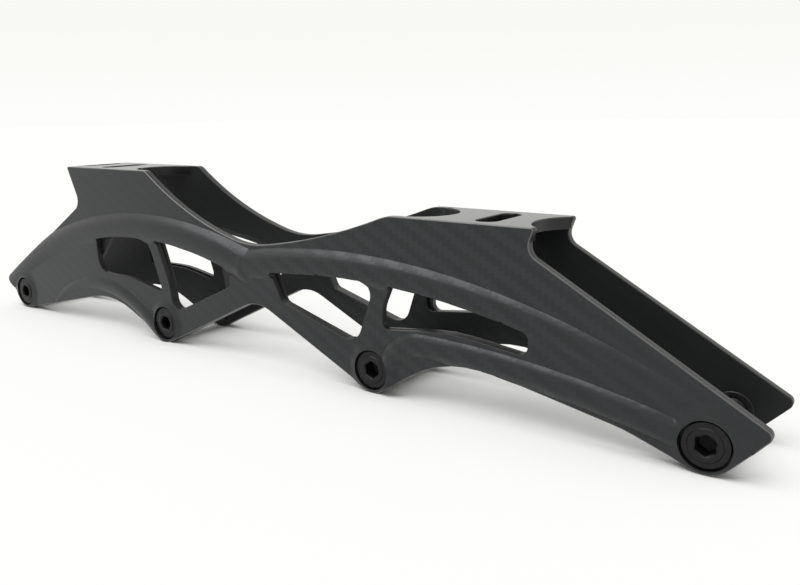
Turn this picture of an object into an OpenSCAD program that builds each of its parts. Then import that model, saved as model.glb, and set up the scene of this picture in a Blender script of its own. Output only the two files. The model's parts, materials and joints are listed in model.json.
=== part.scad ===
// Inline speed-skate frame for four large wheels.
// Two sculpted carbon sides carry four axle bolts and two boot platforms.
// X runs forward to the toe, Y to the left, Z up. The feet stand on Z = 0.

/* [Wheel line] */
// Distance between neighbouring axles
axle_pitch = 112; // [108:0.5:116]
// Height of the axle line, and radius of the foot round each axle
axle_z = 8.4; // [8:0.1:9.5]
// Clear width between the hub bosses of the two sides
hub_gap = 24.6; // [24:0.1:27]

/* [Platforms] */
// Distance between the two mounting slots
slot_spacing = 195; // [190:0.5:198]
// How far the pair of slots sits behind the middle of the wheel line
slot_setback = 1.8; // [0:0.1:4]
// Length of each slot, across the frame
slot_length = 22.4; // [18:0.2:24]
// Width of each slot
slot_width = 7.6; // [6.2:0.1:8.6]
// Height of the front platform's top
front_top = 62.5; // [60:0.5:66]
// Front platform ahead of its slot
front_ahead = 20; // [17:0.2:22]
// Front platform behind its slot
front_behind = 33.6; // [30:0.2:36]
// Height of the rear platform's top
rear_top = 73; // [70:0.5:77]
// Rear platform ahead of its slot
rear_ahead = 35.4; // [32:0.2:38]
// Rear platform behind its slot
rear_behind = 22; // [19:0.2:24]
// Thickness of each platform
platform_t = 4.2; // [3:0.1:6]
// Depth of the hollow in each platform's outer end
end_hollow = 5.8; // [3:0.1:9]
// Depth of the hollow over the wheel in each platform's inner end
wheel_hollow = 12; // [8:0.2:12.4]
// How far each platform's inner end lies inside the corner of the sides
wheel_in = 5; // [2:0.1:7]

/* [Side walls] */
// Thickness of the inner liner
liner_t = 1.6; // [1.2:0.1:2.4]
// Thickness of the shell in its flat upper panel
panel_t = 1.4; // [1:0.1:2]
// How far the truss stands out from the upper panel
truss_lift = 1; // [0.6:0.1:1.6]
// How far the rib crests stand out from the upper panel
rib_lift = 3.8; // [3:0.1:4.6]
// How far the lower ribs' crests stand out from the upper panel
low_rib_lift = 2.7; // [2.2:0.1:3.2]
// How far the swellings round the axles stand out from the upper panel
swell_lift = 2.9; // [2.4:0.1:3.6]
// How far the hub bosses stand in from the liner
boss_lift = 0.5; // [0.3:0.1:1]

/* [Side outline] */
// Reach of each tip beyond its end axle
tip_reach = 17; // [16:0.2:20]
// Height of each tip
tip_z = 14.2; // [12:0.2:16]
// Rounding of each tip
tip_round = 2.2; // [1:0.2:4]
// Lowest height of the saddle between the platforms
saddle_z = 47.2; // [45:0.2:50]
// How far behind the middle the saddle is lowest
saddle_back = 1.6; // [0:0.2:5]
// Radius of the saddle round its lowest point
saddle_low_r = 45; // [36:1:56]
// Angle at which the saddle's rear curve takes over
saddle_rear_a = 14; // [11:0.5:17]
// Angle at which the saddle's front curve takes over
saddle_front_a = 8; // [6:0.5:10]
// Rounding between the saddle and the rear platform
rear_toe_round = 4; // [1:0.5:6]
// Rounding between the saddle and the front platform
front_heel_round = 16; // [4:1:20]
// Height of the rear notch below the rear platform's top
rear_notch_drop = 17; // [14:0.5:19]
// How far the rear notch cuts in under the rear platform
rear_notch_in = 7.4; // [4:0.2:9]
// Height of the front notch below the front platform's top
front_notch_drop = 7.3; // [6:0.1:9]
// How far the front notch cuts in under the front platform
front_notch_in = 2.6; // [1:0.2:5]
// Rounding inside both notches
notch_round = 5.5; // [3:0.1:6]
// Rounding of the platform corners seen from the side
corner_round = 0.8; // [0.4:0.1:2]
// Slope of the rear arch from its outer foot
rear_arch_out = 12.7; // [10:0.1:15]
// Slope of the rear arch from its inner foot
rear_arch_in = 25; // [22:0.5:30]
// Slope of the front arch from its shoulder
front_arch_out = 11.2; // [9:0.1:13]
// How far the shoulder of the front arch lies behind the front axle
shoulder_x = 22.5; // [19:0.5:28]
// Height of that shoulder
shoulder_z = 7.4; // [6:0.1:8.4]
// Slope of the front arch from its inner foot
front_arch_in = 33; // [28:0.5:36]
// Slope of the two middle braces
brace_slope = 25.5; // [23:0.5:27]
// Rounding at the top of the two arches
arch_round = 44; // [30:1:46]
// Rounding where the two middle braces meet
brace_round = 16; // [10:1:24]

/* [Ribs] */
// Radius of the rear upper rib's centre line, seen from the side
rear_rib_r = 200.5; // [190:0.5:215]
// Highest point of the rear upper rib's centre line
rear_rib_z = 47.9; // [47:0.1:49.5]
// How far that point lies behind the second axle
rear_rib_x = 11.3; // [8:0.1:15]
// Radius of the rear upper rib's round back
rear_rib_back = 8.9; // [7.5:0.1:10]
// Radius of the front upper rib's centre line, seen from the side
front_rib_r = 285.5; // [270:0.5:300]
// Highest point of the front upper rib's centre line
front_rib_z = 42.8; // [42:0.1:44]
// How far that point lies behind the third axle
front_rib_x = 12; // [8:0.1:16]
// Radius of the front upper rib's round back
front_rib_back = 7.4; // [6.5:0.1:8.5]
// Angle by which the rear upper rib sinks into the side towards the heel
rear_fade = 0.6; // [0.3:0.05:0.8]
// Angle by which the front upper rib sinks into the side towards the toe
front_fade = 0.85; // [0.4:0.05:0.95]
// Radius of the rear lower rib's centre line
rear_low_r = 60; // [54:1:70]
// How far its highest point lies behind the second axle
rear_low_x = 47; // [44:0.5:50]
// Angle by which the rear lower rib sinks into the side towards the heel
low_fade = 1; // [0.3:0.05:1.05]
// Radius of the front lower rib's centre line, towards the toe
front_low_r = 340; // [300:1:400]
// Radius of the front lower rib's centre line, towards the third axle
front_turn_r = 14; // [12:0.2:17]
// How far its highest point lies ahead of the third axle
front_low_x = 20; // [18:0.2:24]
// Height of the lower ribs' highest points above the axle line
low_rib_z = 11.8; // [11:0.1:12.4]
// Radius of the lower ribs' round backs
low_rib_back = 6; // [5:0.1:6.6]
// How far the windows cut into the underside of the upper ribs
window_bite = 2.8; // [2.2:0.1:3.4]
// How much higher the liner is cut away behind the upper ribs
liner_clear = 2.4; // [1.2:0.1:3.2]
// How much further back the liner's front window starts
liner_back = 2; // [1:0.1:2.6]

/* [Axles] */
// Diameter of an axle bolt's shank
shank_d = 8; // [6:0.1:8.4]
// Diameter of an axle bolt's head
head_d = 13.4; // [12:0.1:14]
// Thickness of an axle bolt's head
head_t = 2.2; // [1.6:0.1:2.6]
// Diameter of the raised middle of the head
head_step_d = 10; // [8.6:0.1:11]
// Height of that step
head_step = 0.35; // [0.2:0.05:0.6]
// Hex key size across flats
hex_size = 5.5; // [4:0.5:6]
// Depth of the hex socket
hex_depth = 3; // [2:0.1:4]
// Running clearance between shank and bush, on the radius
shank_gap = 0.05; // [0.02:0.01:0.1]
// Clearance round a bolt head in its pocket, on the radius
pocket_gap = 0.5; // [0.3:0.1:0.8]
// How far the bolt heads stand out from the upper panel
head_lift = 1.8; // [1.4:0.1:2.4]
// Outer diameter of the bushes
bush_d = 10.6; // [10:0.1:11.4]
// Diameter of the hub bosses on the bushes
boss_d = 12; // [11.6:0.1:14]
// Glue line round a bush, on the radius
glue_gap = 0.05; // [0.03:0.01:0.1]
// Radius of the swelling round each axle
swell_r = 30; // [24:1:40]
// How far the shank ends short of the threaded bush's outer face
shank_short = 0.8; // [0.4:0.1:2]

/* [Hidden] */
$fn = 96;

carbon = "#3d3d3e";
carbon_inside = "#262627";
platform_top = "#585857";
bush_metal = "#4a4b4d";
bolt_black = "#2b2c2d";

// Axles count from the heel, 1 to 4
function axle_x(i) = (i - 2.5) * axle_pitch;

// Depths are measured outward from the middle plane of the frame
boss_face = hub_gap / 2;
liner_face = boss_face + boss_lift;
bond_face = liner_face + liner_t;
panel_face = bond_face + panel_t;
truss_face = panel_face + truss_lift;
rib_crest = panel_face + rib_lift;
low_crest = panel_face + low_rib_lift;
swell_crest = panel_face + swell_lift;
head_face = panel_face + head_lift;
head_seat = head_face - head_t;
cut_over = 4;

front_slot_x = slot_spacing / 2 - slot_setback;
rear_slot_x = -slot_spacing / 2 - slot_setback;
front_toe_x = front_slot_x + front_ahead;
front_heel_x = front_slot_x - front_behind;
rear_toe_x = rear_slot_x + rear_ahead;
rear_heel_x = rear_slot_x - rear_behind;

// Outline geometry: points are [x, height, rounding]
function flat(p) = [p[0], p[1]];
function unit(v) = v / norm(v);
function polar(c, r, a) = [c[0] + r * cos(a), c[1] + r * sin(a), 0];
function arc(c, r, a0, a1, step = 4) =
    let (n = max(2, ceil(abs(a1 - a0) / step)))
    [for (k = [0 : n]) polar(c, r, a0 + (a1 - a0) * k / n)];

// An arc without its two ends, which its neighbours already have
function inner(c) = [for (k = [1 : len(c) - 2]) c[k]];

// Rounds one corner by an arc that leaves room for its neighbours
function reach(p, q) = norm(flat(p) - flat(q)) * (p[2] > 0 ? 0.48 : 0.95);
function soft_corner(p, q, s) =
    q[2] == 0 ? [flat(q)] :
    let (
        a = unit(flat(p) - flat(q)),
        b = unit(flat(s) - flat(q)),
        half = acos(a * b) / 2,
        run = min(q[2] / tan(half), reach(p, q), reach(s, q)),
        r = run * tan(half),
        c = flat(q) + unit(a + b) * r / sin(half),
        from = flat(q) + a * run - c,
        to = flat(q) + b * run - c,
        a0 = atan2(from[1], from[0]),
        swing = atan2(to[1], to[0]) - a0,
        turn = swing > 180 ? swing - 360 : swing < -180 ? swing + 360 : swing,
        n = max(2, ceil(abs(turn) / 8))
    )
    [for (k = [0 : n]) flat(polar(c, r, a0 + turn * k / n))];
function soft(c) =
    let (n = len(c))
    [for (i = [0 : n - 1]) each soft_corner(c[(i + n - 1) % n], c[i], c[(i + 1) % n])];

// Where two lines meet, each given by a point and a direction
function meet(p, u, q, v) =
    let (t = ((q[0] - p[0]) * v[1] - (q[1] - p[1]) * v[0]) / (u[0] * v[1] - u[1] * v[0]))
    [p[0] + u[0] * t, p[1] + u[1] * t];
function rounded(p, r) = [p[0], p[1], r];

// Angle on a circle where the line from an outside point touches it
function touch(p, c, r, side) =
    let (d = flat(p) - flat(c))
    (atan2(d[1], d[0]) + side * acos(r / norm(d)) + 360) % 360;

function foot(i) = [axle_x(i), axle_z];
// Top of an arch: a line rises forward from foot i at slope a, and back from foot j at slope b
function arch_top(i, a, j, b) =
    meet(polar(foot(i), axle_z, 270 + a), [cos(a), sin(a)],
         polar(foot(j), axle_z, 270 - b), [-cos(b), sin(b)]);

rear_tip = [axle_x(1) - tip_reach, tip_z, tip_round];
front_tip = [axle_x(4) + tip_reach, tip_z, tip_round];
rear_heel = [rear_heel_x, rear_top, corner_round];
rear_toe = [rear_toe_x, rear_top, rear_toe_round];
front_heel = [front_heel_x, front_top, front_heel_round];
front_toe = [front_toe_x, front_top, corner_round];
rear_notch = [rear_heel_x + rear_notch_in, rear_top - rear_notch_drop, notch_round];
front_notch = [front_toe_x - front_notch_in, front_top - front_notch_drop, notch_round];
front_shoulder = [axle_x(4) - shoulder_x, shoulder_z, arch_round];
front_arch_top = meet(polar(foot(3), axle_z, 270 + front_arch_in),
                      [cos(front_arch_in), sin(front_arch_in)],
                      front_shoulder, [-cos(front_arch_out), sin(front_arch_out)]);
// The saddle: a short arc round its lowest point, then on each side the one arc that leaves it
// smoothly and reaches the platform's corner. Points are [away from the lowest point, up].
saddle_low = [-saddle_back, saddle_z];
function saddle_join(a) = [saddle_low_r * sin(a), saddle_low_r * (1 - cos(a))];
function saddle_span(a, end) =
    [abs(end[0] - saddle_low[0]), end[1] - saddle_low[1]] - saddle_join(a);
function saddle_r(a, end) =
    let (d = saddle_span(a, end))
    d * d / (2 * d * [-sin(a), cos(a)]);
function saddle_end(a, end) =
    let (d = saddle_span(a, end))
    2 * atan2(d[1], d[0]) - a;
function saddle_c(a, end) = saddle_join(a) + saddle_r(a, end) * [-sin(a), cos(a)];
function mirrored(p) = [-p[0], p[1]];
saddle_step = 2;

side_corners = concat(
    arc(foot(1), axle_z, touch(rear_tip, foot(1), axle_z, 1), 270 + rear_arch_out),
    [rounded(arch_top(1, rear_arch_out, 2, rear_arch_in), arch_round)],
    arc(foot(2), axle_z, 270 - rear_arch_in, 270 + brace_slope),
    [rounded(arch_top(2, brace_slope, 3, brace_slope), brace_round)],
    arc(foot(3), axle_z, 270 - brace_slope, 270 + front_arch_in),
    [rounded(front_arch_top, arch_round), front_shoulder],
    arc(foot(4), axle_z, touch(front_shoulder, foot(4), axle_z, 1),
        touch(front_tip, foot(4), axle_z, -1)),
    [front_tip, front_notch, front_toe, front_heel],
    inner(arc(saddle_low + saddle_c(saddle_front_a, front_heel), saddle_r(saddle_front_a, front_heel),
              270 + saddle_end(saddle_front_a, front_heel), 270 + saddle_front_a, saddle_step)),
    arc(saddle_low + [0, saddle_low_r], saddle_low_r,
        270 + saddle_front_a, 270 - saddle_rear_a, saddle_step),
    inner(arc(saddle_low + mirrored(saddle_c(saddle_rear_a, rear_toe)), saddle_r(saddle_rear_a, rear_toe),
              270 - saddle_rear_a, 270 - saddle_end(saddle_rear_a, rear_toe), saddle_step)),
    [rear_toe, rear_heel, rear_notch, rear_tip]
);

// Upper ribs: centre lines seen from the side
rear_rib_c = [axle_x(2) - rear_rib_x, rear_rib_z - rear_rib_r];
front_rib_c = [axle_x(3) - front_rib_x, front_rib_z - front_rib_r];
// Half width of a rib where its round back leaves the truss face
function rib_half(back) = sqrt(pow(back, 2) - pow(truss_face - rib_crest + back, 2));
rear_under_r = rear_rib_r - rib_half(rear_rib_back) + window_bite;
front_under_r = front_rib_r - rib_half(front_rib_back) + window_bite;
function under_rear(x, up) =
    rear_rib_c[1] + sqrt(pow(rear_under_r + up, 2) - pow(x - rear_rib_c[0], 2));
function under_front(x, up) =
    front_rib_c[1] + sqrt(pow(front_under_r + up, 2) - pow(x - front_rib_c[0], 2));

// Truss windows, placed from axles 2 and 3; their tops follow the underside of the ribs.
// The liner's windows reach higher by `up`, so that the ribs' backs stay thin along their edges.
window_step = 6;
function rear_edge(x0, x1, up) =
    [for (x = [axle_x(2) + x0 : window_step : axle_x(2) + x1]) [x, under_rear(x, up), 0]];
function front_edge(x0, x1, up) =
    [for (x = [axle_x(3) + x0 : window_step : axle_x(3) + x1]) [x, under_front(x, up), 0]];
function at2(x, up, r) = [axle_x(2) + x, axle_z + up, r];
function at3(x, up, r) = [axle_x(3) + x, axle_z + up, r];
function top2(x, r, up) = [axle_x(2) + x, under_rear(axle_x(2) + x, up), r];
function top3(x, r, up) = [axle_x(3) + x, under_front(axle_x(3) + x, up), r];

window_a = concat(
    [top2(-46.2, 3.2, 0)],
    rear_edge(-38, -20, 0),
    [top2(-8.6, 8, 0), at2(-1, 13.5, 1.4), at2(-23, 17.4, 60), at2(-45.6, 17.2, 7)]
);
// The liner keeps a web across the rear corner of this window
window_a_liner = concat(
    [top2(-37, 3, 0)],
    rear_edge(-32, -20, 0),
    [top2(-8.6, 8, 0), at2(-1, 12.4, 3), at2(-23, 16.9, 60), at2(-47.6, 15.8, 5), at2(-48.6, 21.6, 6)]
);
function window_b(up) = concat(
    [top2(-3, 0.8, up)],
    rear_edge(4, 36, up),
    [top2(41.4, 2.4, up), at2(41.6, 21, 2.6), at2(5.3, 5, 4.6), at2(4, 18, 30)]
);
function window_c(up) = concat(
    [top3(-47.5, 1.2, up)],
    front_edge(-42, -6, up),
    [top3(1.6, 5, up), at3(-7, 8, 6), at3(-42.2, 18.4, 3)]
);
function window_d(up, back) = concat(
    [top3(8.2 - back, 1.8, up)],
    front_edge(14, 54, up),
    [top3(59, 2.8, up), at3(59, 15, 2.8), at3(32, 18.3, 60)],
    [at3(4.8 - back, 15, 2.6), at3(4.8 - back, 23, 10)]
);

module side_face(rear_window, up, back) {
    difference() {
        polygon(soft(side_corners));
        polygon(soft(rear_window));
        polygon(soft(window_b(up)));
        polygon(soft(window_c(up)));
        polygon(soft(window_d(up, back)));
    }
}

// A round-backed rib along an arc
module rib(c, r, back, crest, a0, a1) {
    translate([c[0], c[1], 0])
        rotate([0, 0, a0])
            rotate_extrude(angle = a1 - a0)
                translate([r, crest - back])
                    circle(r = back);
}
// Swings ribs about an upright line, so that their crests sink to one end
module fade(x, crest, angle) {
    translate([x, 0, crest])
        rotate([0, angle, 0])
            translate([-x, 0, -crest])
                children();
}
// A ball hides the open ends where the upper ribs meet
module knob(p, back) {
    translate([p[0], p[1], rib_crest - back])
        sphere(r = back + knob_over);
}
knob_over = 0.2;

// The upper ribs start where their centre lines cross
rib_span = norm(front_rib_c - rear_rib_c);
rib_split = (pow(rear_rib_r, 2) - pow(front_rib_r, 2) + pow(rib_span, 2)) / (2 * rib_span);
rib_along = unit(front_rib_c - rear_rib_c);
rib_node = rear_rib_c + rib_along * rib_split
    + [-rib_along[1], rib_along[0]] * sqrt(pow(rear_rib_r, 2) - pow(rib_split, 2));
function bearing(c, p) = atan2(p[1] - c[1], p[0] - c[0]);

// The rear lower rib arches over from the second foot and runs out through the lower edge
rear_low_c = [axle_x(2) - rear_low_x, axle_z + low_rib_z - rear_low_r];
rear_low_end = bearing(rear_low_c, foot(2) - [0, axle_z]);
// The front lower rib has a long arc to the front foot and a short one down to the third foot
front_low_top = [axle_x(3) + front_low_x, axle_z + low_rib_z];
front_low_c = front_low_top - [0, front_low_r];
// The short arc starts just inside the long one
tuck = 0.03;
overlap = 2;

module relief() {
    translate([axle_x(1) - 40, -10, bond_face - 2])
        cube([3 * axle_pitch + 80, rear_top + 20, panel_t + 2]);
    translate([0, 0, bond_face - 2]) linear_extrude(panel_t + truss_lift + 2) {
        translate(rear_rib_c) circle(r = rear_rib_r, $fn = 360);
        translate(front_rib_c) circle(r = front_rib_r, $fn = 360);
    }
    fade(rib_node[0], rib_crest, -rear_fade)
        rib(rear_rib_c, rear_rib_r, rear_rib_back, rib_crest, bearing(rear_rib_c, rib_node), 132);
    fade(rib_node[0], rib_crest, front_fade)
        rib(front_rib_c, front_rib_r, front_rib_back, rib_crest, 56, bearing(front_rib_c, rib_node));
    knob(rib_node, rear_rib_back);
    fade(axle_x(2), low_crest, -low_fade)
        rib(rear_low_c, rear_low_r, low_rib_back, low_crest, rear_low_end, 180 - rear_low_end);
    rib(front_low_c, front_low_r, low_rib_back, low_crest, bearing(front_low_c, foot(4)), 90);
    rib(front_low_top - [0, front_turn_r], front_turn_r, low_rib_back - tuck, low_crest - tuck,
        90 - overlap, 195);
    for (i = [1 : 4])
        translate([axle_x(i), axle_z, swell_crest - swell_r])
            sphere(r = swell_r);
}

// Sides are drawn flat, depth along Z, then stood up on edge
module stand_right() {
    rotate([90, 0, 0]) children();
}
module stand_left() {
    mirror([0, 1, 0]) rotate([90, 0, 0]) children();
}

module blank_shell() {
    intersection() {
        translate([0, 0, bond_face])
            linear_extrude(rib_lift + panel_t + cut_over) side_face(window_a, 0, 0);
        relief();
    }
}

module bush_holes(from) {
    for (i = [1 : 4])
        translate([axle_x(i), axle_z, from])
            cylinder(d = bush_d + 2 * glue_gap, h = rib_crest + cut_over - from);
}

module right_outer_shell() {
    color(carbon) stand_right() difference() {
        blank_shell();
        bush_holes(bond_face - 1);
        for (i = [1 : 4])
            translate([axle_x(i), axle_z, head_seat])
                cylinder(d = head_d + 2 * pocket_gap, h = rib_crest + cut_over - head_seat);
    }
}
module left_outer_shell() {
    color(carbon) stand_left() difference() {
        blank_shell();
        bush_holes(bond_face - 1);
    }
}

module liner() {
    difference() {
        translate([0, 0, liner_face])
            linear_extrude(liner_t) side_face(window_a_liner, liner_clear, liner_back);
        bush_holes(liner_face - 1);
    }
}
module right_inner_liner() {
    color(carbon_inside) stand_right() liner();
}
module left_inner_liner() {
    color(carbon_inside) stand_left() liner();
}

// Radius of an arc that spans the platform's width and sinks by a given depth
function hollow_r(depth) = (pow(liner_face, 2) + pow(depth, 2)) / (2 * depth);

module platform(heel_x, toe_x, top, slot_x, heel_depth, toe_depth) {
    heel_r = hollow_r(heel_depth);
    toe_r = hollow_r(toe_depth);
    translate([0, 0, top - platform_t]) linear_extrude(platform_t) difference() {
        translate([heel_x, -liner_face]) square([toe_x - heel_x, 2 * liner_face]);
        translate([heel_x + heel_depth - heel_r, 0]) circle(r = heel_r);
        translate([toe_x - toe_depth + toe_r, 0]) circle(r = toe_r);
        translate([slot_x - slot_width / 2, (slot_width - slot_length) / 2])
            square([slot_width, slot_length - slot_width]);
        for (s = [-1, 1])
            translate([slot_x, s * (slot_length - slot_width) / 2]) circle(d = slot_width);
    }
}
module front_platform() {
    color(platform_top)
        platform(front_heel_x + wheel_in, front_toe_x - corner_round, front_top,
                 front_slot_x, wheel_hollow, end_hollow);
}
module rear_platform() {
    color(platform_top)
        platform(rear_heel_x + corner_round, rear_toe_x - wheel_in, rear_top,
                 rear_slot_x, end_hollow, wheel_hollow);
}

// Bushes: a collar with the hub boss on its inner end
module bush(i, outer) {
    translate([axle_x(i), axle_z, 0]) difference() {
        union() {
            translate([0, 0, boss_face]) cylinder(d = boss_d, h = boss_lift);
            translate([0, 0, boss_face]) cylinder(d = bush_d, h = outer - boss_face);
        }
        translate([0, 0, boss_face - 1])
            cylinder(d = shank_d + 2 * shank_gap, h = outer - boss_face + 2);
    }
}
module plain_bush(i) {
    color(bush_metal) stand_right() bush(i, head_seat);
}
module threaded_bush(i) {
    color(bush_metal) stand_left() bush(i, head_face);
}
module plain_bush_1() { plain_bush(1); }
module plain_bush_2() { plain_bush(2); }
module plain_bush_3() { plain_bush(3); }
module plain_bush_4() { plain_bush(4); }
module threaded_bush_1() { threaded_bush(1); }
module threaded_bush_2() { threaded_bush(2); }
module threaded_bush_3() { threaded_bush(3); }
module threaded_bush_4() { threaded_bush(4); }

// Axle bolt: turned profile, head outward, with a hex socket
edge = 0.4;
// Each bolt stopped at its own angle when it was tightened
hex_turn = [20, 30, 8, 0];
module axle_bolt(i) {
    tip = -(head_face - shank_short);
    shank = shank_d / 2;
    step_face = head_face - head_step;
    color(bolt_black) stand_right() translate([axle_x(i), axle_z, 0]) difference() {
        rotate_extrude() polygon([
            [0, tip],
            [shank - 2 * edge, tip],
            [shank, tip + 2 * edge],
            [shank, head_seat],
            [head_d / 2, head_seat],
            [head_d / 2, step_face - edge],
            [head_d / 2 - edge, step_face],
            [head_step_d / 2, step_face],
            [head_step_d / 2 - head_step, head_face],
            [0, head_face]
        ]);
        translate([0, 0, head_face - hex_depth])
            rotate([0, 0, hex_turn[i - 1]])
                cylinder(d = hex_size / cos(30), h = hex_depth + 1, $fn = 6);
    }
}
module axle_bolt_1() { axle_bolt(1); }
module axle_bolt_2() { axle_bolt(2); }
module axle_bolt_3() { axle_bolt(3); }
module axle_bolt_4() { axle_bolt(4); }

right_outer_shell();
right_inner_liner();
left_outer_shell();
left_inner_liner();
front_platform();
rear_platform();
plain_bush_1();
plain_bush_2();
plain_bush_3();
plain_bush_4();
threaded_bush_1();
threaded_bush_2();
threaded_bush_3();
threaded_bush_4();
axle_bolt_1();
axle_bolt_2();
axle_bolt_3();
axle_bolt_4();
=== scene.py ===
# %% [markdown]
# # A carbon speed-skate frame
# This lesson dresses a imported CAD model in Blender. The real object is a bare frame for four
# large wheels: two moulded carbon sides, two flat boot platforms and four black axle bolts.
# The CAD model gives each piece its place, in metres, with X forward, Y to the left and Z up,
# so no piece is moved by eye. The steps are finishes first, then pieces, then the studio.

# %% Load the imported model
import json
import math
import bmesh
import bpy
from mathutils import Matrix, Vector

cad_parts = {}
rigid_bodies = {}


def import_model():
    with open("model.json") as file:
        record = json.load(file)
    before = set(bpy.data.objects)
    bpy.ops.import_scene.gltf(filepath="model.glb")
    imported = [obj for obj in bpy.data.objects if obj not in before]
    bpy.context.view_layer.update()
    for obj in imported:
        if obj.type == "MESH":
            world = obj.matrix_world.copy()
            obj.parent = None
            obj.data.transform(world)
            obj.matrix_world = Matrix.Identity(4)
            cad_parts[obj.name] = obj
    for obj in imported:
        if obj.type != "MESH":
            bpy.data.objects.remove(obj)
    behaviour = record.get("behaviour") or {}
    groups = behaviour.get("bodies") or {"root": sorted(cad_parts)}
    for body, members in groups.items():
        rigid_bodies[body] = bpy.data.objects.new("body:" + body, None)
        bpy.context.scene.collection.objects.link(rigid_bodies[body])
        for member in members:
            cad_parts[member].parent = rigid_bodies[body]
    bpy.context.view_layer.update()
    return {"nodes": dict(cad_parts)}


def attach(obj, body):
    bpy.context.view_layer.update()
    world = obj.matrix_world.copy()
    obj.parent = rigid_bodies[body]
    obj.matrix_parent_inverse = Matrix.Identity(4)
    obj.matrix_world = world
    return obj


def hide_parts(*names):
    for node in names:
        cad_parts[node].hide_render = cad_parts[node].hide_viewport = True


for spare in list(bpy.data.objects):
    bpy.data.objects.remove(spare)
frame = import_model()
nodes = frame["nodes"]

# %% [markdown]
# ## Three helpers for finishes
# Colours are picked as sRGB hex values, the way a paint card gives them, but shaders add light
# in linear values, so one function converts them. A second small function adds any node, sets
# its options and fills its sockets, either with a value or with a link from another node. The
# third starts a material and gives its place on the piece.
#
# Some nodes have several sockets of one name, so those are given by number. Map Range takes the
# number in 0, where it comes from in 1 and 2, and where it goes in 3 and 4. Mix takes the share
# in 0, two numbers in 2 and 3, or two colours in 6 and 7.

# %% Colour and node helpers
MM = 0.001


def colour(code):
    parts = [int(code[k:k + 2], 16) / 255 for k in (1, 3, 5)]
    return tuple(c / 12.92 if c <= 0.04045 else ((c + 0.055) / 1.055) ** 2.4 for c in parts) + (1.0,)


def put(mat, kind, fill=None, **options):
    node = mat.node_tree.nodes.new(kind)
    for key, value in options.items():
        setattr(node, key, value)
    for socket, value in (fill or {}).items():
        if isinstance(value, bpy.types.NodeSocket):
            mat.node_tree.links.new(value, node.inputs[socket])
        else:
            node.inputs[socket].default_value = value
    return node


def start_finish(name):
    mat = bpy.data.materials.new(name)
    mat.use_nodes = True
    place = put(mat, "ShaderNodeTexCoord").outputs["Object"]
    return mat, mat.node_tree.nodes["Principled BSDF"], place


print("mid grey is", [round(c, 3) for c in colour("#808080")])

# %% [markdown]
# ## Twill carbon
# The sides are pressed from 2x2 twill cloth: each tow of fibre, about 1.8 mm wide, passes over
# two crossing tows and under two, and the step moves by one tow per row, which draws slanting
# bands. An image could show that, but the weave is simple arithmetic: number the tows along
# and across, add the two numbers, and the remainder on division by four says which tow lies on
# top. The cloth lies at a small turn, so that the bands slant more steeply than 45 degrees.

# %% Weave the cloth
TOW = 1.8 * MM
CLOTH_TURN = (0.0, math.radians(15), 0.0)
REPEAT, ON_TOP = 4.0, 2.0


def twill(mat, place):
    """Weave mask and tow height for a cloth that lies along the sides, in the plane of X and Z."""
    turned = put(mat, "ShaderNodeMapping",
                 {"Vector": place, "Rotation": CLOTH_TURN, "Scale": (1 / TOW,) * 3})
    axes = put(mat, "ShaderNodeSeparateXYZ", {0: turned.outputs[0]}).outputs
    ways = (axes["X"], axes["Z"])
    rows = [put(mat, "ShaderNodeMath", {0: way}, operation="FLOOR").outputs[0] for way in ways]
    step = put(mat, "ShaderNodeMath", {0: rows[0], 1: rows[1]}, operation="ADD").outputs[0]
    rest = put(mat, "ShaderNodeMath", {0: step, 1: REPEAT}, operation="FLOORED_MODULO").outputs[0]
    # The remainder is a whole number, so half a step below the count keeps rounding out of it
    over = put(mat, "ShaderNodeMath", {0: rest, 1: ON_TOP - 0.5}, operation="LESS_THAN").outputs[0]
    crowns = [put(mat, "ShaderNodeMath", {0: way, 1: 0.5}, operation="PINGPONG").outputs[0]
              for way in ways]
    height = put(mat, "ShaderNodeMix", {0: over, 2: crowns[0], 3: crowns[1]}).outputs[0]
    return over, height


print("tow width", TOW / MM, "mm")

# %% [markdown]
# A clear coat lies over the cloth. On the front panel it is thin and the weave stands out.
# Away from there it thickens, unevenly, and the tones of the tows run together until the weave
# is hardly seen. Resin also pools in the cloth, which clouds its tone a little.

# %% Make the twill carbon finish
FRONT_PANEL = (72 * MM, 0.0, 50 * MM)
COAT_PATCH, COAT_SWAY = 30 * MM, 50 * MM
CLEAR_WITHIN, FAINT_BEYOND = 70 * MM, 125 * MM
CLEAR, FAINT, NO_WEAVE = 0.85, 0.2, 0.5
RESIN_POOL, RESIN_CLOUD = 15 * MM, 0.12
TOW_SHEEN, TOW_RISE = 0.06, 0.2 * MM


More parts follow.
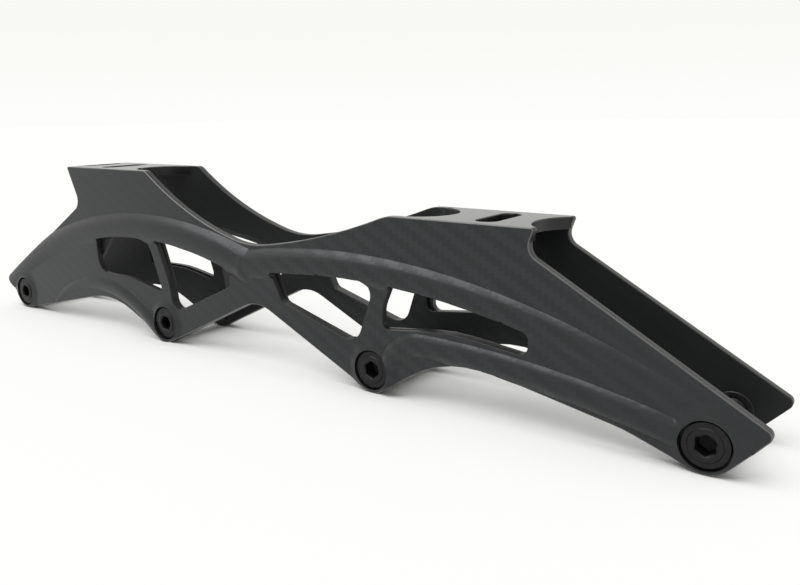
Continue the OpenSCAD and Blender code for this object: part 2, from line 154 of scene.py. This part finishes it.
def woven_carbon(name, light, dark, rough, gloss):
    mat, skin, place = start_finish(name)
    over, height = twill(mat, place)
    away = put(mat, "ShaderNodeVectorMath", {0: place, 1: FRONT_PANEL},
               operation="DISTANCE").outputs["Value"]
    patch = put(mat, "ShaderNodeTexNoise",
                {"Vector": place, "Scale": 1 / COAT_PATCH, "Detail": 1.0}).outputs[0]
    coat = put(mat, "ShaderNodeMath", {0: patch, 1: COAT_SWAY, 2: away},
               operation="MULTIPLY_ADD").outputs[0]
    contrast = put(mat, "ShaderNodeMapRange",
                   {0: coat, 1: CLEAR_WITHIN, 2: FAINT_BEYOND, 3: CLEAR, 4: FAINT}).outputs[0]
    weave = put(mat, "ShaderNodeMix", {0: contrast, 2: NO_WEAVE, 3: over}).outputs[0]
    cloth = put(mat, "ShaderNodeMix", {0: weave, 6: colour(dark), 7: colour(light)},
                data_type="RGBA").outputs[2]
    pool = put(mat, "ShaderNodeTexNoise",
               {"Vector": place, "Scale": 1 / RESIN_POOL, "Detail": 3.0}).outputs[0]
    tone = put(mat, "ShaderNodeMapRange", {0: pool, 3: 1 - RESIN_CLOUD, 4: 1 + RESIN_CLOUD}).outputs[0]
    clouded = put(mat, "ShaderNodeHueSaturation", {"Value": tone, "Color": cloth}).outputs[0]
    mat.node_tree.links.new(clouded, skin.inputs["Base Color"])
    sheen = put(mat, "ShaderNodeMapRange", {0: weave, 3: rough + TOW_SHEEN, 4: rough - TOW_SHEEN})
    mat.node_tree.links.new(sheen.outputs[0], skin.inputs["Roughness"])
    bump = put(mat, "ShaderNodeBump", {"Height": height, "Strength": 0.1, "Distance": TOW_RISE})
    mat.node_tree.links.new(bump.outputs[0], skin.inputs["Normal"])
    skin.inputs["Specular IOR Level"].default_value = gloss
    # The coat's shine is a trace bluer than white
    skin.inputs["Specular Tint"].default_value = colour("#f7faff")
    return mat


shell_carbon = woven_carbon("twill_carbon_satin", light="#1f2021", dark="#121313", rough=0.33, gloss=0.46)
liner_carbon = woven_carbon("twill_carbon_inside", light="#181919", dark="#141515", rough=0.55, gloss=0.35)
print("the weave fades over", round((FAINT_BEYOND - CLEAR_WITHIN) / MM), "mm")

# %% [markdown]
# ## Sanded carbon
# The boot platforms were sanded flat, which cuts through the weave and leaves a fine even grey
# with a clear shine. Faint scratches run along the frame, the way the sander went: noise that is
# stretched some forty times along X.

# %% Make the sanded finish
SCRATCH_LENGTH, SCRATCH_WIDTH, SCRATCH_DULLS = 20 * MM, 0.5 * MM, 0.03


def sanded_carbon(name, pale, deep, rough):
    mat, skin, place = start_finish(name)
    stretch = (1 / SCRATCH_LENGTH, 1 / SCRATCH_WIDTH, 0.0)
    drawn = put(mat, "ShaderNodeMapping", {"Vector": place, "Scale": stretch}).outputs[0]
    scratch = put(mat, "ShaderNodeTexNoise", {"Vector": drawn, "Scale": 1.0, "Detail": 3.0}).outputs[0]
    tone = put(mat, "ShaderNodeMix", {0: scratch, 6: colour(deep), 7: colour(pale)},
               data_type="RGBA").outputs[2]
    mat.node_tree.links.new(tone, skin.inputs["Base Color"])
    dull = put(mat, "ShaderNodeMapRange",
               {0: scratch, 3: rough - SCRATCH_DULLS, 4: rough + SCRATCH_DULLS}).outputs[0]
    mat.node_tree.links.new(dull, skin.inputs["Roughness"])
    return mat


platform_carbon = sanded_carbon("sanded_carbon", pale="#363635", deep="#2e2e2d", rough=0.2)
print("scratches are stretched", round(SCRATCH_LENGTH / SCRATCH_WIDTH), "times")

# %% [markdown]
# ## Cut laminate
# Where the mould's flash was milled away, the stack of plies shows as fine lines along the cut.
# Stretched noise gives such lines: fine through the thickness, about 0.2 mm a ply, and slow
# along the edge. The cut walls are dark. The rims of the sides' outline rub against things in
# use and are worn shinier. Their paler colour is partly that wear and partly a painted highlight
# of the light they catch, so they get a finish of their own.

# %% Make the cut laminate finishes
Y_AXIS, Z_AXIS = 1, 2
PLY, PLY_RUN, PLY_DEPTH = 0.2 * MM, 6 * MM, 0.05 * MM
DARK_PLY, PALE_PLY = 0.35, 0.65


def cut_laminate(name, pale, deep, stacked, rough, gloss):
    mat, skin, place = start_finish(name)
    squeeze = [1 / PLY_RUN] * 3
    squeeze[stacked] = 1 / PLY
    drawn = put(mat, "ShaderNodeMapping", {"Vector": place, "Scale": squeeze}).outputs[0]
    plies = put(mat, "ShaderNodeTexNoise", {"Vector": drawn, "Scale": 1.0, "Detail": 2.0}).outputs[0]
    blend = put(mat, "ShaderNodeMapRange", {0: plies, 1: DARK_PLY, 2: PALE_PLY}).outputs[0]
    tone = put(mat, "ShaderNodeMix", {0: blend, 6: colour(deep), 7: colour(pale)},
               data_type="RGBA").outputs[2]
    mat.node_tree.links.new(tone, skin.inputs["Base Color"])
    bump = put(mat, "ShaderNodeBump", {"Height": plies, "Strength": 0.2, "Distance": PLY_DEPTH})
    mat.node_tree.links.new(bump.outputs[0], skin.inputs["Normal"])
    skin.inputs["Roughness"].default_value = rough
    skin.inputs["Specular IOR Level"].default_value = gloss
    return mat


side_edge = cut_laminate("cut_carbon_edge", pale="#232324", deep="#1c1c1d", stacked=Y_AXIS,
                         rough=0.38, gloss=0.4)
# The outline rims' pale colour is partly wear and partly a painted highlight
worn_and_highlit_rim = cut_laminate("worn_carbon_rim_painted_highlight", pale="#525253", deep="#464647", stacked=Y_AXIS,
                        rough=0.28, gloss=0.9)
platform_edge = cut_laminate("cut_platform_edge", pale="#1a1a1b", deep="#141415", stacked=Z_AXIS,
                             rough=0.38, gloss=0.4)
print("ply", PLY / MM, "mm")

# %% [markdown]
# ## Bolt and bush metal
# The axle bolts are steel with a black oxide skin: nearly black, a little shiny, with the oxide
# slightly worn to grey in fine specks. Their sockets are as the forge left them, matt, and their
# colour is darkened further with painted shade for the dark inside of the recess. The bushes are
# black anodised aluminium, turned on a lathe. The lathe's rings, about 0.15 mm apart, are too fine
# to show here, so specks give that metal its unevenness too. Noise fills space, so it covers a
# turned piece without unwrapping it and without a seam.

# %% Make the metal finishes
WEAR_FROM, WEAR_FULL, WEAR_DULLS = 0.5, 0.75, 0.06
OXIDE_GRIT, ANODISED_GRIT = 0.8 * MM, 1.2 * MM


def dark_metal(name, base, worn, metallic, rough, grit, gloss):
    mat, skin, place = start_finish(name)
    speck = put(mat, "ShaderNodeTexNoise", {"Vector": place, "Scale": 1 / grit, "Detail": 4.0}).outputs[0]
    wear = put(mat, "ShaderNodeMapRange", {0: speck, 1: WEAR_FROM, 2: WEAR_FULL}).outputs[0]
    tone = put(mat, "ShaderNodeMix", {0: wear, 6: colour(base), 7: colour(worn)},
               data_type="RGBA").outputs[2]
    mat.node_tree.links.new(tone, skin.inputs["Base Color"])
    dull = put(mat, "ShaderNodeMapRange", {0: speck, 3: rough - WEAR_DULLS, 4: rough + WEAR_DULLS})
    mat.node_tree.links.new(dull.outputs[0], skin.inputs["Roughness"])
    skin.inputs["Metallic"].default_value = metallic
    skin.inputs["Specular IOR Level"].default_value = gloss
    return mat


bolt_steel = dark_metal("black_oxide_steel", base="#101011", worn="#1e1e1f",
                        metallic=0.4, rough=0.42, grit=OXIDE_GRIT, gloss=0.45)
# The sockets' matt oxide, darkened further with painted shade for the inside of the recess
socket_oxide_and_shade = dark_metal("black_oxide_forged_painted_shade", base="#070708", worn="#0c0c0d",
                          metallic=0.0, rough=0.6, grit=OXIDE_GRIT, gloss=0.3)
bush_alloy = dark_metal("black_anodised_aluminium", base="#2a2a2b", worn="#343435",
                        metallic=0.6, rough=0.42, grit=ANODISED_GRIT, gloss=0.5)
print("specks of", OXIDE_GRIT / MM, "and", ANODISED_GRIT / MM, "mm")

# %% [markdown]
# ## The carbon mouldings
# Moulded and milled carbon has no knife edges: every free rim is broken by about half a
# millimetre, and that narrow band catches the light. The CAD solids are sharp, so bevels have
# to break the rims, and first the script must tell which edges are rims. Where two mouldings
# are glued flush, nobody could reach the edge with a file, so those edges stay whole and the
# seam stays closed. The bolt pockets are cut by a sharp tool and stay crisp too.

# %% Tell glued edges and bolt pockets from free rims
BOND, INSIDE, PLATFORM_Z = 14.4 * MM, 12.8 * MM, 62.4 * MM
AXLE_PITCH, AXLE_Z = 112 * MM, 8.4 * MM
AXLE_X = [(k - 1.5) * AXLE_PITCH for k in range(4)]
POCKET_REACH = 7.6 * MM
TOUCHING = 0.02 * MM


def at_depth(edge, depth):
    return all(abs(abs(v.co.y) - depth) < TOUCHING for v in edge.verts)


def glued(edge):
    level_top = all(v.co.z > PLATFORM_Z for v in edge.verts)
    return at_depth(edge, BOND) or (level_top and at_depth(edge, INSIDE))


def round_axle(edge):
    away = [math.hypot(min(abs(v.co.x - x) for x in AXLE_X), v.co.z - AXLE_Z) for v in edge.verts]
    return max(away) < POCKET_REACH


def rim_loops(edges):
    """Sort edges into loops that hang together."""
    left = set(edges)
    while left:
        loop = [left.pop()]
        for edge in loop:
            beside = {near for vert in edge.verts for near in vert.link_edges} & left
            left -= beside
            loop += beside
        yield loop


print("axles at", [round(x / MM) for x in AXLE_X], "mm")

# %% [markdown]
# The mouldings could be modelled again here, but the CAD solids already have every rib, so each
# is copied. The copy's loose triangles are merged, and flat triangles are joined again into
# whole faces. A whole side with its windows is too winding an outline for one face, so the copy
# is cut into strips 10 mm wide, which no eye will see. Faces that lie flat or stand proud as ribs
# are moulded, and the rest are cut walls. The boot platforms were sanded flat together with the
# tops of the sides, so those tops share the platforms' finish.

# %% Copy a node and mark its faces
CAD_MERGE = 0.002 * MM
FLAT_ANGLE = math.radians(0.4)
STRIP, STRIPS_END = 10, 180
FLAT_WITHIN, RIB_RISE = 0.2 * MM, 2 * MM
FACING, LEVEL = 0.4, 0.99
MOULDED, CUT, SANDED, WORN_AND_HIGHLIT = range(4)


def merged_copy(node, name):
    mesh = nodes[node].data.copy()
    mesh.name = name
    # Clearing also sets every face back to the first finish, so it comes before the faces are marked
    mesh.materials.clear()
    work = bmesh.new()
    work.from_mesh(mesh)
    bmesh.ops.remove_doubles(work, verts=work.verts, dist=CAD_MERGE)
    bmesh.ops.dissolve_limit(work, angle_limit=FLAT_ANGLE, verts=work.verts, edges=work.edges)
    for x in range(-STRIPS_END, STRIPS_END + 1, STRIP):
        bmesh.ops.bisect_plane(work, geom=work.verts[:] + work.edges[:] + work.faces[:],
                               plane_co=(x * MM, 0, 0), plane_no=(1, 0, 0))
    return mesh, work


def mark_faces(work, flat_axis):
    """Tag the moulded faces, and give each face the number of its finish."""
    for face in work.faces:
        face.smooth = True
        depths = [v.co[flat_axis] for v in face.verts]
        flat = max(depths) - min(depths) < FLAT_WITHIN
        proud = min(abs(v.co.y) for v in face.verts) > BOND + RIB_RISE
        face.tag = flat or proud or abs(face.normal[flat_axis]) > FACING
        sanded = face.normal.z > LEVEL and face.calc_center_median().z > PLATFORM_Z
        face.material_index = SANDED if sanded else MOULDED if face.tag else CUT


print("strips of", STRIP, "mm")

# %% [markdown]
# A rim is an edge between a moulded face and a cut wall. Rims hang together in loops: those of
# the windows are short and keep the dark finish of the cut, and the long ones of the outline get
# the pale worn finish, which is partly wear and partly a painted highlight. So there are two
# bevels, and each works where an edge carries its own weight. A last modifier evens the shading,
# so that a narrow bevel doesn't tint the wide face beside it.

# %% Break the rims
RIMS = ("outline_rim", "window_rim")
RIM_STEPS, FACE_PULL = 2, 60
LONGEST_WINDOW = 60 * MM
CREASE = math.radians(25)


def mark_rims(work):
    weights = [work.edges.layers.float.new(rim) for rim in RIMS]
    broken = [edge for edge in work.edges if len({face.tag for face in edge.link_faces}) == 2
              and not glued(edge) and not round_axle(edge)]
    for edge in work.edges:
        edge.smooth = not glued(edge) and edge.calc_face_angle(0.0) < CREASE
    for loop in rim_loops(broken):
        reach = [vert.co.x for edge in loop for vert in edge.verts]
        weight = weights[max(reach) - min(reach) < LONGEST_WINDOW]
        for edge in loop:
            edge[weight] = 1.0
            edge.smooth = True


def break_rims(piece, width, rims):
    for weight, finish in zip(RIMS, rims):
        bevel = piece.modifiers.new(weight, "BEVEL")
        bevel.limit_method, bevel.edge_weight = "WEIGHT", weight
        bevel.width, bevel.segments = width, RIM_STEPS
        bevel.use_clamp_overlap = False
        bevel.material = finish
    even = piece.modifiers.new("even normals", "WEIGHTED_NORMAL")
    even.weight, even.keep_sharp = FACE_PULL, True


print("loops shorter than", LONGEST_WINDOW / MM, "mm are windows")

# %% [markdown]
# Every finished piece is dressed the same way: it rides on a body and takes the place of its CAD
# node, which is hidden.

# %% Dress the sides and the platforms


def dress(piece, node, body):
    bpy.context.scene.collection.objects.link(piece)
    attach(piece, body)
    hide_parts(node)
    print(piece.name, len(piece.data.polygons), "faces")


def broken_edges(node, name, flat_axis, width, finishes, rims):
    mesh, work = merged_copy(node, name)
    mark_faces(work, flat_axis)
    mark_rims(work)
    work.to_mesh(mesh)
    work.free()
    for finish in finishes:
        mesh.materials.append(finish)
    piece = bpy.data.objects.new(name, mesh)
    break_rims(piece, width, rims)
    dress(piece, node, "frame")


for side in ("right", "left"):
    broken_edges(side + "_outer_shell", side + "_sculpted_side", flat_axis=Y_AXIS, width=0.35 * MM,
                 finishes=(shell_carbon, side_edge, platform_carbon, worn_and_highlit_rim), rims=(WORN_AND_HIGHLIT, CUT))
    broken_edges(side + "_inner_liner", side + "_inside_skin", flat_axis=Y_AXIS, width=0.3 * MM,
                 finishes=(liner_carbon, side_edge, platform_carbon), rims=(CUT, CUT))
for end in ("front", "rear"):
    broken_edges(end + "_platform", end + "_boot_platform", flat_axis=Z_AXIS, width=0.4 * MM,
                 finishes=(platform_carbon, platform_edge, platform_carbon), rims=(SANDED, SANDED))

# %% [markdown]
# ## Bushes
# A bush is turned on a lathe, so its shape is one closed outline spun once round the axle line.
# Lathes leave small chamfers on every corner, and those draw the thin bright rings that show
# round the hub bosses inside the frame. An outline is a row of points in millimetres, each with
# its distance from the axle line and its distance from the frame's middle.

# %% Turn the bushes
STEPS = 48
TURNED_MERGE = 0.001 * MM
TURNED_CREASE = math.radians(28)
BORE, COLLAR, BOSS = 4.05, 5.3, 6.0
BOSS_FACE, BOSS_BACK = 12.3, 12.8
LEAD_IN, CORNER, COLLAR_RIM = 0.25, 0.2, 0.15
HEAD_SEAT, HEAD_FACE = 15.4, 17.6


def spin_outline(work, x, outline, closed):
    verts = [work.verts.new((x + r * MM, y * MM, AXLE_Z)) for r, y in outline]
    follow = verts[1:] + verts[:1] if closed else verts[1:]
    edges = [work.edges.new(pair) for pair in zip(verts, follow)]
    bmesh.ops.spin(work, geom=verts + edges, cent=(x, 0, AXLE_Z), axis=(0, 1, 0),
                   angle=2 * math.pi, steps=STEPS, use_merge=True)


def close_up(work, name, *finishes):
    bmesh.ops.remove_doubles(work, verts=work.verts, dist=TURNED_MERGE)
    bmesh.ops.recalc_face_normals(work, faces=work.faces)
    for face in work.faces:
        face.smooth = True
    for edge in work.edges:
        edge.smooth = edge.calc_face_angle(0.0) < TURNED_CREASE
    mesh = bpy.data.meshes.new(name)
    work.to_mesh(mesh)
    work.free()
    for finish in finishes:
        mesh.materials.append(finish)
    return bpy.data.objects.new(name, mesh)


def bush_outline(side, outer):
    boss = [(BORE + LEAD_IN, BOSS_FACE), (BOSS - CORNER, BOSS_FACE),
            (BOSS, BOSS_FACE + CORNER), (BOSS, BOSS_BACK)]
    collar = [(COLLAR, BOSS_BACK), (COLLAR, outer - COLLAR_RIM), (COLLAR - COLLAR_RIM, outer)]
    bore = [(BORE + CORNER, outer), (BORE, outer - CORNER), (BORE, BOSS_FACE + LEAD_IN)]
    return [(r, side * y) for r, y in boss + collar + bore]


for k, x in enumerate(AXLE_X, 1):
    for kind, side, outer in (("plain", -1, HEAD_SEAT), ("threaded", 1, HEAD_FACE)):
        work = bmesh.new()
        spin_outline(work, x, bush_outline(side, outer), True)
        dress(close_up(work, f"{kind}_bush_ring_{k}", bush_alloy), f"{kind}_bush_{k}", "frame")

# %% [markdown]
# ## Axle bolts
# Each bolt is turned too: a stepped head with a rounded rim, a plain shank for the bearings and
# a thinner core for the thread. The head sits on the right, so its places are negative, and the
# outline starts at the tip on the axle line and ends at a round open mouth in the head.

# %% Draw the bolt's outline
TIP, TIP_BACK, TIP_FACE = 16.8, 16.2, 2.8
CORE, CORE_START = 3.42, 7.4
RUN_OUT = (3.6, 7.1)
SHANK, SHANK_END = 4.0, 6.8
HEAD, HEAD_CORNER, HEAD_ROUND = 6.7, 0.15, 0.4
STEP_FACE, STEP_FOOT, STEP_TOP = 17.25, 5.0, 4.62
STEP_SLOPE = [(4.9, -17.32), (4.72, -17.56)]
MOUTH = 3.35


def bolt_outline():
    core = [(0.0, TIP), (TIP_FACE, TIP), (CORE, TIP_BACK), (CORE, CORE_START), RUN_OUT]
    shank = [(SHANK, SHANK_END), (SHANK, -HEAD_SEAT)]
    seat = [(HEAD - HEAD_CORNER, -HEAD_SEAT), (HEAD, -HEAD_SEAT - HEAD_CORNER)]
    turns = [math.radians(a) for a in range(0, 91, 15)]
    rim = [(HEAD - HEAD_ROUND + HEAD_ROUND * math.cos(a),
            HEAD_ROUND - STEP_FACE - HEAD_ROUND * math.sin(a)) for a in turns]
    step = [(STEP_FOOT, -STEP_FACE), *STEP_SLOPE, (STEP_TOP, -HEAD_FACE)]
    return core + shank + seat + rim + step + [(MOUTH, -HEAD_FACE)]


print("the bolt is", HEAD_FACE + TIP, "mm long")

# %% [markdown]
# A hexagon can't be turned. A six-sided loop with as many points as the mouth is laid a little
# below it, and bridging the two makes the countersink that leads a key in. The hexagon is then
# drawn down for the walls, and once more into one point, as a drill leaves it. Each bolt stopped
# at its own angle when it was done up, so each socket is turned differently.

# %% Sink the sockets
HEX_CORNER, HEX_TOP = 3.175, 17.2
SOCKET_DEPTH, DRILL_POINT = 4.6, 0.8
SOCKET_TURN = [math.radians(a) for a in (20, 30, 8, 0)]


def draw_down(work, loop, depth):
    """Extrude a loop of edges into the head, and give back the new edges and points."""
    made = bmesh.ops.extrude_edge_only(work, edges=loop)["geom"]
    points = [part for part in made if isinstance(part, bmesh.types.BMVert)]
    bmesh.ops.translate(work, vec=(0, depth * MM, 0), verts=points)
    return [part for part in made if isinstance(part, bmesh.types.BMEdge)], points


def hex_socket(work, x, turn):
    mouth = [e for e in work.edges if e.is_boundary]
    centre = Vector((x, -HEX_TOP * MM, AXLE_Z))
    facing = Matrix.Rotation(math.pi / 2, 4, "X") @ Matrix.Rotation(turn, 4, "Z")
    bmesh.ops.create_circle(work, segments=6, radius=HEX_CORNER * MM,
                            matrix=Matrix.Translation(centre) @ facing)
    sides = [e for e in work.edges if e.is_wire]
    bmesh.ops.subdivide_edges(work, edges=sides, cuts=STEPS // 6 - 1)
    hexagon = [e for e in work.edges if e.is_wire]
    bmesh.ops.bridge_loops(work, edges=mouth + hexagon)
    outside = set(work.faces)
    walls = draw_down(work, hexagon, SOCKET_DEPTH)[0]
    point = draw_down(work, walls, DRILL_POINT)[1]
    bottom = centre + Vector((0, (SOCKET_DEPTH + DRILL_POINT) * MM, 0))
    bmesh.ops.pointmerge(work, verts=point, merge_co=bottom)
    # The socket's faces take the second finish: matt oxide darkened with painted shade
    for face in set(work.faces) - outside:
        face.material_index = 1


print("the key is", round(HEX_CORNER * math.sqrt(3), 1), "mm across its flats")

# %% [markdown]
# The thread is a short ridge outline spun seven times round while it climbs by one pitch per
# turn. It rises out of the core at one end and dies away at the other, and its two open ends are
# filled, so the ridge is closed.

# %% Cut the threads and put the bolts together
PITCH, TURNS = 1.25, 7
THREAD_START, ROOT, CREST = 7.2, 3.38, 3.97
CREST_FROM, CREST_TO, FADE = 0.42, 0.58, 0.6


def thread(work, x):
    turned = set(work.verts)
    ridge = [(ROOT, 0.0), (CREST, CREST_FROM), (CREST, CREST_TO), (ROOT, 1.0)]
    verts = [work.verts.new((x + r * MM, (THREAD_START + share * PITCH) * MM, AXLE_Z))
             for r, share in ridge]
    edges = [work.edges.new(pair) for pair in zip(verts, verts[1:])]
    bmesh.ops.spin(work, geom=verts + edges, cent=(x, 0, AXLE_Z), axis=(0, 1, 0),
                   angle=2 * math.pi * TURNS, steps=STEPS * TURNS, dvec=(0, PITCH * MM / STEPS, 0))
    halfway = (ROOT + CREST) / 2 * MM
    crest = [v for v in work.verts
             if v not in turned and math.hypot(v.co.x - x, v.co.z - AXLE_Z) > halfway]
    low, high = min(v.co.y for v in crest), max(v.co.y for v in crest)
    for v in crest:
        rise = min(1.0, min(v.co.y - low, high - v.co.y) / (FADE * PITCH * MM))
        pull = (ROOT + (CREST - ROOT) * rise) / CREST
        v.co.x, v.co.z = x + (v.co.x - x) * pull, AXLE_Z + (v.co.z - AXLE_Z) * pull
    bmesh.ops.remove_doubles(work, verts=work.verts, dist=TURNED_MERGE)
    bmesh.ops.holes_fill(work, edges=[e for e in work.edges if e.is_boundary])


for k, x in enumerate(AXLE_X, 1):
    work = bmesh.new()
    spin_outline(work, x, bolt_outline(), False)
    bmesh.ops.remove_doubles(work, verts=work.verts, dist=TURNED_MERGE)
    hex_socket(work, x, SOCKET_TURN[k - 1])
    thread(work, x)
    dress(close_up(work, f"turned_axle_bolt_{k}", bolt_steel, socket_oxide_and_shade), f"axle_bolt_{k}", f"axle_{k}")

# %% [markdown]
# ## The studio
# The photograph was taken on white paper that runs up into a white wall under broad soft light.
# A wide sun, like a bright ceiling, lights the floor evenly as far as the eye reaches, and the
# world fills the shadows. The camera, and shiny surfaces, see the world as white paper that
# greys a little upwards. Part of the floor's white glows for the same rays, because the
# photograph's paper is so bright that its wide shadows wash out; close under the frame, where
# little light gets in, that glow fades, so the dark line of contact stays.

# %% Lay the floor
FLOOR_HALF = 6.0
CONTACT, PINCHED, GLOW = 40 * MM, 0.45, 0.62


def seen_rays(owner):
    """One for a ray that shows a surface to the eye, directly or in a shiny or clear thing, or else zero."""
    rays = put(owner, "ShaderNodeLightPath").outputs
    shiny = put(owner, "ShaderNodeMath", {0: rays["Is Glossy Ray"], 1: rays["Is Transmission Ray"]},
                operation="MAXIMUM").outputs[0]
    return put(owner, "ShaderNodeMath", {0: rays["Is Camera Ray"], 1: shiny}, operation="MAXIMUM").outputs[0]


sweep = bmesh.new()
bmesh.ops.create_grid(sweep, x_segments=1, y_segments=1, size=FLOOR_HALF)
floor_mesh = bpy.data.meshes.new("studio_floor")
sweep.to_mesh(floor_mesh)
sweep.free()
floor = bpy.data.objects.new("studio_floor", floor_mesh)
bpy.context.scene.collection.objects.link(floor)
paper, paper_skin = start_finish("white_paper")[:2]
paper_skin.inputs["Base Color"].default_value = colour("#fefefd")
paper_skin.inputs["Roughness"].default_value = 0.9
paper_skin.inputs["Specular IOR Level"].default_value = 0.1
glow = put(paper, "ShaderNodeEmission", {"Color": colour("#fffffd"), "Strength": 1.0})
clear = put(paper, "ShaderNodeAmbientOcclusion", {"Distance": CONTACT}, samples=8).outputs["AO"]
open_paper = put(paper, "ShaderNodeMapRange", {0: clear, 1: PINCHED, 4: GLOW}).outputs[0]
share = put(paper, "ShaderNodeMath", {0: open_paper, 1: seen_rays(paper)}, operation="MULTIPLY").outputs[0]
both = put(paper, "ShaderNodeMixShader", {0: share, 1: paper_skin.outputs[0], 2: glow.outputs[0]})
paper.node_tree.links.new(both.outputs[0], paper.node_tree.nodes["Material Output"].inputs["Surface"])
floor_mesh.materials.append(paper)
print("the floor is", 2 * FLOOR_HALF, "m wide")

# %% Set the light
FILL, SEEN = 0.5, 1.0
GREY_ABOVE = 0.1

ceiling = bpy.data.lights.new("bright_ceiling", "SUN")
ceiling.energy, ceiling.angle = 1.9, math.radians(55)
lamp = bpy.data.objects.new("bright_ceiling", ceiling)
lamp.rotation_euler = (math.radians(17), math.radians(-17), 0.0)
bpy.context.scene.collection.objects.link(lamp)

world = bpy.data.worlds.new("white_room")
bpy.context.scene.world = world
world.use_nodes = True
backdrop = world.node_tree.nodes["Background"]
level = put(world, "ShaderNodeMapRange", {0: seen_rays(world), 3: FILL, 4: SEEN}).outputs[0]
heading = put(world, "ShaderNodeTexCoord").outputs["Generated"]
upward = put(world, "ShaderNodeSeparateXYZ", {0: heading}).outputs["Z"]
climb = put(world, "ShaderNodeMapRange", {0: upward, 1: 0.0, 2: GREY_ABOVE}).outputs[0]
wall = put(world, "ShaderNodeMix", {0: climb, 6: colour("#fdfdfb"), 7: colour("#f8f8f4")},
           data_type="RGBA").outputs[2]
world.node_tree.links.new(wall, backdrop.inputs["Color"])
world.node_tree.links.new(level, backdrop.inputs["Strength"])
print("studio lit")

# %% [markdown]
# ## The camera
# Fitting the photograph's edges gave a lens of about 35 mm on a full-frame sensor, close to the
# toe end and a little above the frame, with the horizon leaning by less than a degree. The fit
# finds the lens in pixels of the photograph, and the sensor's width turns that to millimetres.
# The camera is placed by three directions, right, up and back, which are easier to lean a
# little than a set of angles.

# %% Place the camera
FOCAL_PIXELS, PHOTO_PIXELS, SENSOR = 770.6, 800, 36.0
eye = Vector((0.21346, -0.21830, 0.09639))
look = Vector((-0.5688, 0.7895, -0.2304)).normalized()
lean = math.radians(-0.773)
level_right = look.cross(Vector((0, 0, 1))).normalized()
level_up = level_right.cross(look)
right = math.cos(lean) * level_right + math.sin(lean) * level_up
up = math.cos(lean) * level_up - math.sin(lean) * level_right
lens = bpy.data.cameras.new("close_lens")
lens.sensor_fit, lens.sensor_width = "HORIZONTAL", SENSOR
lens.lens = SENSOR * FOCAL_PIXELS / PHOTO_PIXELS
lens.clip_start = 0.01
camera = bpy.data.objects.new("close_lens", lens)
camera.matrix_world = Matrix.Translation(eye) @ Matrix((right, up, -look)).transposed().to_4x4()
bpy.context.scene.collection.objects.link(camera)
bpy.context.scene.camera = camera
bpy.context.scene.view_settings.view_transform = "Standard"
print("lens", round(lens.lens, 2), "mm")
